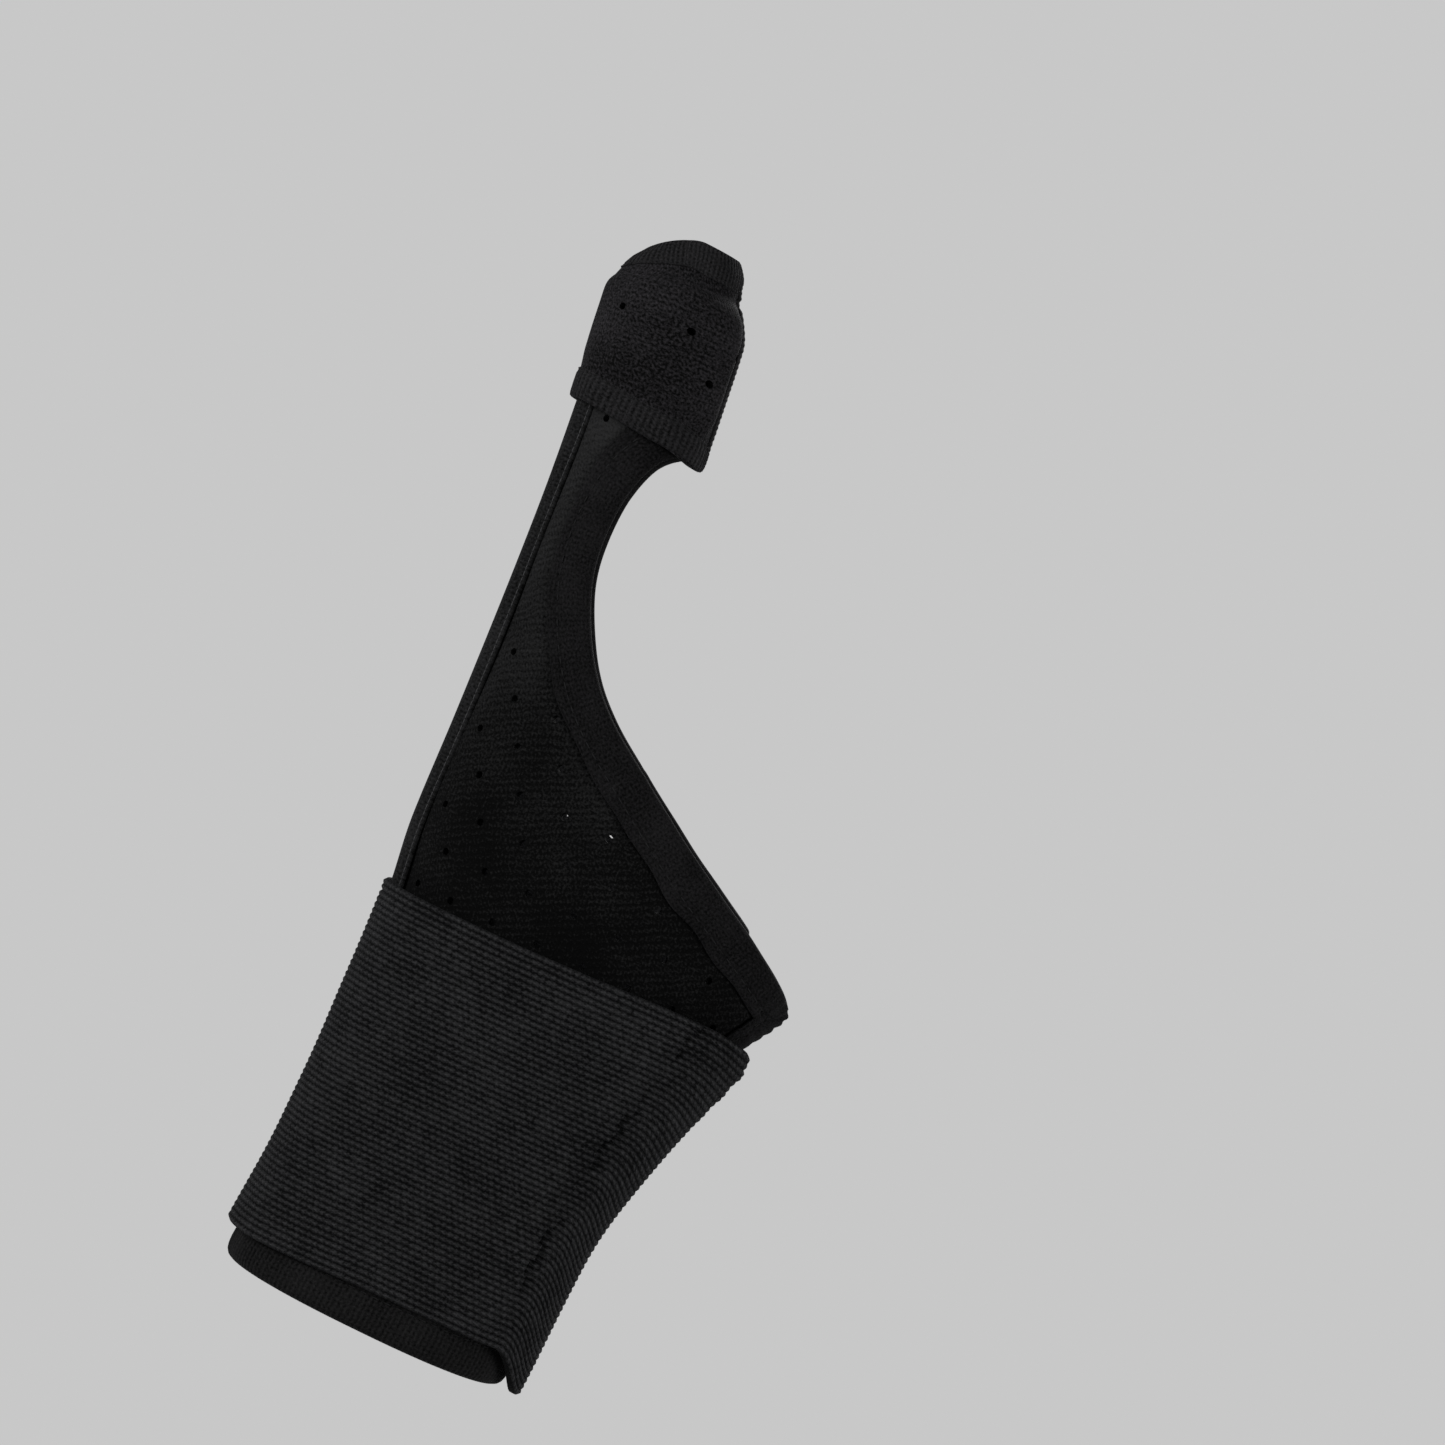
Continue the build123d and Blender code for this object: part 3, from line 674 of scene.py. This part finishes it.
firstCut, lastCut = strap["cuts"]
straps = [("wristStrapAround", strap["anchor"], firstCut, ["wrist_strap_base"]),
          ("wristStrapRoot", firstCut, lastCut, ["wrist_strap_root"]),
          ("wristStrapFlap", lastCut, strap["end"], ["wrist_strap_tip", "wrist_strap_end_hem"])]
made = {}
for name, start, stop, replaced in straps:
    made[name], width, length = makeStrapPiece(name, start, stop)
    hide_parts(*replaced)
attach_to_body(made["wristStrapAround"], "splint")
start, end = hingeSpan(strap["root"], strap["rootReach"], strap["low"], strap["high"], strapRest)
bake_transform(made["wristStrapRoot"])
start, end = hingeSpan(strap["bend"], strap["bendReach"], strap["low"], strap["high"], strapRest)
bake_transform(made["wristStrapFlap"])
print("wrist strap made")

# finger wrap
wrap = dict(low=166.2, high=202.4, middle=184.0, thick=2.2, pressed=0.75, tape=0.4, start=14.0,
            cuts=(200.0, 257.0), root=226.0, rootReach=2.6, bend=288.0, bendReach=3.2,
            hingeHeights=(176, 192), end=366.0, band=6.0, corner=4.5, hook=(308.0, 350.0),
            patch=(173.5, 186.0), hookThick=0.6, loopThick=0.5, puff=1.0, rib=1.05)
wrapRest = boundLift + panels["seat"] + wrap["tape"] / 2
wrapHookBase = panels["thick"] + panels["seat"] + wrap["loopThick"] + parting
wrapStack = wrapHookBase + wrap["hookThick"] + panels["bond"]


# the lower edge drops towards the free end
def wrapLow(turn):
    return 167.0 - 1.4 * ease(turn, 200, 300) - 1.1 * ease(turn, 300, 350)


def wrapHigh(turn):
    return wrap["high"] - 4.8 * (1 - ease(np.abs(turn - 180), 0, 105))


def overStay(turn):
    return 1 - ease(np.abs(turn - 180), 42, 62)


def wrapInner(z, turn):
    onPatches = ease(turn, wrap["bend"] - 26, wrap["hook"][0] - 8)
    overCover = coverLift + panels["seat"] + wrap["tape"] / 2
    lift = wrapRest + (overCover - wrapRest) * overStay(turn) + (wrapStack - wrapRest) * onPatches
    return lift - (lift - 1.1) * ease(z, panels["top"] - 2, panels["top"] + 8.5)


def wrapOuter(z, turn):
    low, high = wrapLow(turn), wrapHigh(turn)
    body = ease(z, low + wrap["band"] - 1.5, low + wrap["band"] + 3.5)
    body = body * (1 - ease(z, high - 10.5, high - 6.0))
    tail = (1 - ease(turn, 322, 345)) * ease(turn, 25, 85)
    puffed = wrap["thick"] + wrap["puff"] - 2.1 * overStay(turn)
    thick = wrap["pressed"] + (puffed - wrap["pressed"]) * body * tail
    crease = 0.7 * np.exp(-((z - (high - wrap["band"] - 1.0)) / 0.7) ** 2)
    crease = crease * (0.25 + 0.75 * ease(turn, 290, 325))
    rounding = 1.2 * ease(z, high - 3.0, high + 0.3)
    return wrapInner(z, turn) + thick - np.minimum(crease, thick * 0.7) - rounding * 0.8


# the limb under the wrap, kept as narrow as the finger on its thumb side, where the hand widens
def wrapSkin(z, turn, lift):
    narrow = np.maximum(ease(turn, 235, 310), 1 - ease(turn, 30, 70))
    drop = np.maximum(finger["base"] - z, 0) * narrow
    points = skin(z + drop, turn, lift)
    points[..., 0] += math.tan(math.radians(finger["lean"])) * drop * mm
    points[..., 1] -= math.tan(math.radians(finger["curl"])) * drop * mm
    points[..., 2] -= drop * mm
    return points


def wrapTurn(s):
    return turnAt(np.full(np.shape(s), wrap["middle"]), s)


def wrapArc(turn):
    return arcAt(np.full(np.shape(turn), wrap["middle"]), turn)


# the length at which a row ends; the free end has rounded corners
def wrapStop(z, stop):
    last = wrapArc(np.array([stop]))[0]
    if stop < wrap["end"]:
        return last + 0 * z
    low, high, radius = wrapLow(stop), wrapHigh(stop), wrap["corner"]
    inside = np.clip(1 - np.minimum(z - low, high - z) / radius, 0, 1)
    return last - radius * (1 - np.sqrt(1 - 0.99 * inside**2))


def makeWrapPiece(name, start, stop):
    cell = cloths["cell"]
    first, last = wrapArc(np.array([start, stop]))
    count = int(round((last - first) / cell))
    rows = np.linspace(0, 1, 49)
    turnRow = wrapTurn(np.linspace(first, last, count + 1))
    z = wrapLow(turnRow) + (wrapHigh(turnRow) - wrapLow(turnRow)) * rows[:, None]
    s = first + (wrapStop(z[:, -1], stop) - first)[:, None] * np.linspace(0, 1, count + 1)
    keep = np.ones((len(rows) - 1, count), bool)
    margin = wrap["band"] + 3.0
    punch(s, z, keep, (11, 18), cloths["holeRadius"],
          lambda a, b: wrap["low"] + margin < b < wrap["high"] - margin - 2 and first + 2.5 < a < last - 3.5)
    turn = wrapTurn(s)
    wave = 0.2 * smoothNoise(s, z, 33, 15) * (1 - np.abs(2 * rows - 1))[:, None]
    outer, inner = wrapOuter(z, turn) + wave, wrapInner(z, turn)
    uv = np.stack([s, z], -1)
    return shell(name, wrapSkin(z, turn, outer), wrapSkin(z, turn, inner), keep, uv, wrapKnit)


tapeStep = 0.21
tapeRing = [(0.0, 0.05), (0.15, 0.3), (0.8, 0.42), (2.6, 0.46), (4.3, 0.42), (4.9, 0.22), (5.3, 0.34),
            (5.5, 0.12), (5.4, -0.05), (4.0, -0.05), (0.8, -0.05)]


# ribbed tape along an edge of the wrap, its width drawn in along the free end
def makeWrapBinding(name, path):
    path = resample(np.array(path), tapeStep)
    normal = inward(path, 1.5)
    along = np.arange(len(path)) * tapeStep
    ring = np.array(tapeRing)
    width = 1 - 0.4 * np.abs(normal[:, [0]])
    ribs = 0.06 * np.sin(along * 2 * math.pi / wrap["rib"])[:, None]
    ribs = ribs * np.where(ring[:, 1] > 0.2, 1, 0)[None, :]
    s = path[:, [0]] + normal[:, [0]] * ring[None, :, 0] * width
    z = path[:, [1]] + normal[:, [1]] * ring[None, :, 0] * width
    turn = wrapTurn(s)
    lift = wrapOuter(z, turn) + ring[None, :, 1] + ribs
    return band(name, wrapSkin(z, turn, lift), along, unrolled(tapeRing), ribbedTape)


# the paths that the tape follows: both edges, joined round the free end
def wrapEdges(start, stop):
    first, last = wrapArc(np.array([start, stop]))
    straight = last - wrap["corner"] * (stop == wrap["end"])
    low = [(a, wrapLow(wrapTurn(a))) for a in np.linspace(first, straight, 60)]
    high = [(a, wrapHigh(wrapTurn(a))) for a, b in low]
    if stop < wrap["end"]:
        return [low, high[::-1]]
    z = np.linspace(low[-1][1], high[-1][1], 200)
    return [low + list(zip(wrapStop(z, stop), z)) + high[::-1]]


firstCut, lastCut = wrap["cuts"]
wrapParts = [("Around", wrap["start"], firstCut, "base"), ("Root", firstCut, lastCut, "root"),
             ("Flap", lastCut, wrap["end"], "tip")]
rootSpan = hingeSpan(wrap["root"], wrap["rootReach"], *wrap["hingeHeights"], wrapRest + 1)
bendSpan = hingeSpan(wrap["bend"], wrap["bendReach"], *wrap["hingeHeights"], wrapRest + 1)


def attachWrap(piece, part):
    if part == "base":
        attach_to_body(piece, "splint")
    elif part == "root":
        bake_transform(piece)
    else:
        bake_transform(piece)


for label, start, stop, part in wrapParts:
    padding = makeWrapPiece(f"fingerWrap{label}", start, stop)
    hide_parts(f"finger_wrap_{part}")
    attachWrap(padding, part)
    paths = wrapEdges(start, stop)
    for place, path in zip(("Low", "Top"), paths):
        tape = makeWrapBinding(f"fingerWrap{place if len(paths) > 1 else 'Edge'}Binding{label}", path)
        replaced = ["low", "top"] if len(paths) == 1 else [place.lower()]
        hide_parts(*[f"finger_{end}_binding_{part}" for end in replaced])
        attachWrap(tape, part)
print("finger wrap made")

# stitches and hooks, repeated by geometry nodes
# a node tree that sets one small shape on many points, with its sizes as inputs
def repeatTree(name, start, steps):
    tree = bpy.data.node_groups.new(name, "GeometryNodeTree")
    tree.interface.new_socket("Geometry", in_out="INPUT", socket_type="NodeSocketGeometry")
    inputs = dict(Pitch="Float", Length="Float", Radius="Float", Seed="Int", Finish="Material")
    for label, kind in inputs.items():
        tree.interface.new_socket(label, in_out="INPUT", socket_type=f"NodeSocket{kind}")
    tree.interface.new_socket("Geometry", in_out="OUTPUT", socket_type="NodeSocketGeometry")
    source, result = tree.nodes.new("NodeGroupInput"), tree.nodes.new("NodeGroupOutput")

    def step(kind, settings=None, **links):
        node = tree.nodes.new(kind)
        for key, value in (settings or {}).items():
            setattr(node, key, value)
        for key, value in links.items():
            socket = node.inputs[key.replace("_", " ")]
            if isinstance(value, bpy.types.NodeSocket):
                tree.links.new(value, socket)
            else:
                socket.default_value = value
        return node

    points, rotation = start(step, source)
    half = step("ShaderNodeMath", dict(operation="MULTIPLY"))
    tree.links.new(source.outputs["Length"], half.inputs[0])
    half.inputs[1].default_value = 0.5
    radius = source.outputs["Radius"]
    size = step("ShaderNodeCombineXYZ", X=radius, Y=radius, Z=half.outputs[0])
    bead = step("GeometryNodeMeshUVSphere", Segments=6, Rings=steps, Radius=1.0)
    spread = step("FunctionNodeRandomValue", dict(data_type="FLOAT"), Seed=source.outputs["Seed"])
    spread.inputs[2].default_value, spread.inputs[3].default_value = 0.86, 1.0
    scale = step("ShaderNodeVectorMath", dict(operation="SCALE"), Scale=spread.outputs[1])
    tree.links.new(size.outputs[0], scale.inputs[0])
    placed = step("GeometryNodeInstanceOnPoints", Points=points, Instance=bead.outputs[0], Rotation=rotation,
                  Scale=scale.outputs[0])
    real = step("GeometryNodeRealizeInstances", Geometry=placed.outputs[0])
    finished = step("GeometryNodeSetMaterial", Geometry=real.outputs[0], Material=source.outputs["Finish"])
    tree.links.new(finished.outputs[0], result.inputs[0])
    return tree


def alongRows(step, source):
    curve = step("GeometryNodeMeshToCurve", Mesh=source.outputs["Geometry"])
    row = step("GeometryNodeCurveToPoints", dict(mode="LENGTH"), Curve=curve.outputs[0],
               Length=source.outputs["Pitch"])
    return row.outputs["Points"], row.outputs["Rotation"]


def overPatch(step, source):
    normal = step("GeometryNodeInputNormal")
    turned = step("FunctionNodeAlignRotationToVector", dict(axis="Z"), Vector=normal.outputs[0])
    keepRotation = step("GeometryNodeCaptureAttribute", Geometry=source.outputs["Geometry"])
    keepRotation.capture_items.new("ROTATION", "Turned")
    keepRotation.id_data.links.new(turned.outputs[0], keepRotation.inputs["Turned"])
    points = step("GeometryNodeMeshToPoints", Mesh=keepRotation.outputs["Geometry"])
    return points.outputs[0], keepRotation.outputs["Turned"]


stitchTree = repeatTree("stitchRow", alongRows, 4)
hookTree = repeatTree("hookField", overPatch, 3)


# runs a tree over a guide mesh and keeps the result as a plain mesh
def repeated(name, verts, edges, faces, tree, sizes, finish):
    guide = bpy.data.meshes.new(f"{name}Guide")
    guide.from_pydata(verts, edges, faces)
    holder = bpy.data.objects.new(f"{name}Guide", guide)
    scene.collection.objects.link(holder)
    modifier = holder.modifiers.new("repeat", "NODES")
    modifier.node_group = tree
    sockets = {item.name: item.identifier for item in tree.interface.items_tree if item.in_out == "INPUT"}
    for key, value in {**sizes, "Finish": finish}.items():
        modifier[sockets[key]] = value
    bpy.context.view_layer.update()
    mesh = bpy.data.meshes.new_from_object(holder.evaluated_get(bpy.context.evaluated_depsgraph_get()))
    holder.modifiers.clear()
    bpy.data.objects.remove(holder)
    mesh.materials.clear()
    mesh.materials.append(finish)
    mesh.shade_smooth()
    obj = bpy.data.objects.new(name, mesh)
    scene.collection.objects.link(obj)
    return obj


stitch = dict(Pitch=2.3 * mm, Length=1.6 * mm, Radius=0.17 * mm, Seed=4)
fineStitch = dict(Pitch=1.7 * mm, Length=1.2 * mm, Radius=0.13 * mm, Seed=9)
cordStitch = dict(Pitch=1.2 * mm, Length=1.3 * mm, Radius=0.13 * mm, Seed=12)


def sewRows(name, rows, sizes, finish, attach):
    verts, edges = [], []
    for row in rows:
        first = len(verts)
        verts += [tuple(point) for point in row]
        edges += [(first + k, first + k + 1) for k in range(len(row) - 1)]
    piece = repeated(name, verts, edges, [], stitchTree, sizes, finish)
    attach(piece)
    return piece


def rideSplint(piece):
    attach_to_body(piece, "splint")


for name, side in (("dorsal", 1), ("palmar", -1)):
    seam = edges[side] + inward(edges[side], cornerReach) * edgeSeam["inset"]
    row = skin(seam[:, 1], turnAt(seam[:, 1], side * seam[:, 0]), edgeSeam["lift"])
    sewRows(f"{name}EdgeStitches", [row], stitch, sewingThread, rideSplint)

# stitches along the stay cover's edges, coloured pale as a painted highlight of the tape's lit edge
coverRows = []
for w in (-6.1, 6.1):
    z = np.arange(12, 183, 1.0)
    coverRows.append(skin(z, turnAt(z, np.full(z.shape, w)), panels["thick"] + 0.9))
sewRows("stayCoverStitches", coverRows, cordStitch, paintedHighlightThread, rideSplint)

hemTurns = np.linspace(panels["palmarTurn"], panels["dorsalTurn"], 400)
sewRows("hemStitches", [skin(6.72, hemTurns, 2.95)], stitch, sewingThread, rideSplint)

for label, start, stop, part in wrapParts:
    first, last = wrapArc(np.array([start + 1, min(stop, wrap["end"] - 12)]))
    turns = wrapTurn(np.linspace(first, last, 80))
    rows = [wrapSkin(z, turns, wrapOuter(z, turns) + 0.25)
            for z in (wrapLow(turns) + 4.8, wrapHigh(turns) - 4.8)]
    sewRows(f"fingerWrapStitches{label}", rows, fineStitch, sewingThread,
            lambda piece: attachWrap(piece, part))


# moulded hooks on the side of the patch that faces the loops
def makeHooks(name, turns, low, high, base, body, pitch=1.3):
    z = np.arange(low + 1, high - 1, pitch)
    ends = arcAt(np.array([(low + high) / 2] * 2), np.array(turns)) + np.array([1.0, -1.0])
    arcs = np.arange(*sorted(ends), pitch)
    middle = turnAt(np.full(arcs.shape, (low + high) / 2), arcs)
    points = skin(z[:, None], middle[None, :], base - 0.02)
    index = np.arange(points.shape[0] * points.shape[1]).reshape(points.shape[:2])
    faces = np.stack([index[:-1, :-1], index[:-1, 1:], index[1:, 1:], index[1:, :-1]], -1).reshape(-1, 4)
    sizes = dict(Pitch=pitch * mm, Length=0.44 * mm, Radius=0.2 * mm, Seed=17)
    piece = repeated(name, points.reshape(-1, 3).tolist(), [], faces.tolist(), hookTree, sizes, hookPlastic)
    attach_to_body(piece, body)


makeHooks("wristStrapHooks", strap["hook"], *strap["hookHeights"], hookBase, "strap_tip")
makeHooks("fingerWrapHooks", wrap["hook"], *wrap["patch"], wrapHookBase, "wrap_tip")
print("stitches and hooks made")

# CAD pieces that keep their shape
finishes = {
    "ulnar_stay": stayMetal, "stay_tip_lower": tipPlastic, "stay_tip_upper": tipPlastic,
    "finger_sleeve_lining": sleeveCloth, "sleeve_rim_binding": rimTape, "strap_anchor_tape": anchorTape,
    "wrist_strap_hook": hookPlastic, "finger_wrap_hook": hookPlastic,
    "wrist_strap_loop": loopPile, "finger_wrap_loop": loopPile,
}
for node, finish in finishes.items():
    nodes[node].data.materials.clear()
    nodes[node].data.materials.append(finish)

# camera, light and floor
studio = dict(centre=(0.0117, 0.0, 0.1258), distance=1.0, width=0.2627, roll=26.0, grey=0.578)
c, s = math.cos(math.radians(studio["roll"])), math.sin(math.radians(studio["roll"]))
cameraData = bpy.data.cameras.new("camera")
cameraData.sensor_width = 36.0
cameraData.lens = 36.0 * studio["distance"] / studio["width"]
camera = bpy.data.objects.new("camera", cameraData)
scene.collection.objects.link(camera)
x, y, z = studio["centre"]
camera.matrix_world = Matrix(((c, -s, 0, x), (0, 0, -1, y - studio["distance"]), (s, c, 0, z), (0, 0, 0, 1)))
scene.camera = camera
scene.view_settings.view_transform = "Standard"

world = bpy.data.worlds.new("studio")
scene.world = world
world.use_nodes = True
grey = studio["grey"]
world.node_tree.nodes["Background"].inputs["Color"].default_value = (grey, grey, grey, 1)


def areaLight(name, place, target, size, power):
    data = bpy.data.lights.new(name, "AREA")
    data.shape, data.size, data.energy = "DISK", size, power
    lamp = bpy.data.objects.new(name, data)
    scene.collection.objects.link(lamp)
    lamp.location = place
    aim = Matrix.Translation(target).translation - lamp.location
    lamp.rotation_euler = aim.to_track_quat("-Z", "Y").to_euler()


lightTarget = (0, 0, 0.1)
areaLight("keyLight", (-1.2, -0.7, 0.35), lightTarget, 0.6, 26)
areaLight("fillLight", (1.1, -0.8, 0.3), lightTarget, 0.8, 17)
areaLight("backLight", (0.3, 1.2, 0.8), lightTarget, 0.8, 12)

floorDisc = dict(radius=0.13, place=(0, 0.02, -0.085))
floorMesh = bpy.data.meshes.new("floor")
disc = bmesh.new()
bmesh.ops.create_circle(disc, cap_ends=True, segments=96, radius=floorDisc["radius"])
bmesh.ops.translate(disc, verts=disc.verts, vec=floorDisc["place"])
disc.to_mesh(floorMesh)
floor = bpy.data.objects.new("floor", floorMesh)
scene.collection.objects.link(floor)
floor.data.materials.append(plainFinish("paleFloor", (0.56, 0.56, 0.56), (0.6, 0.6, 0.6), 0.7, (4, 4, 4)))

print("scene ready")
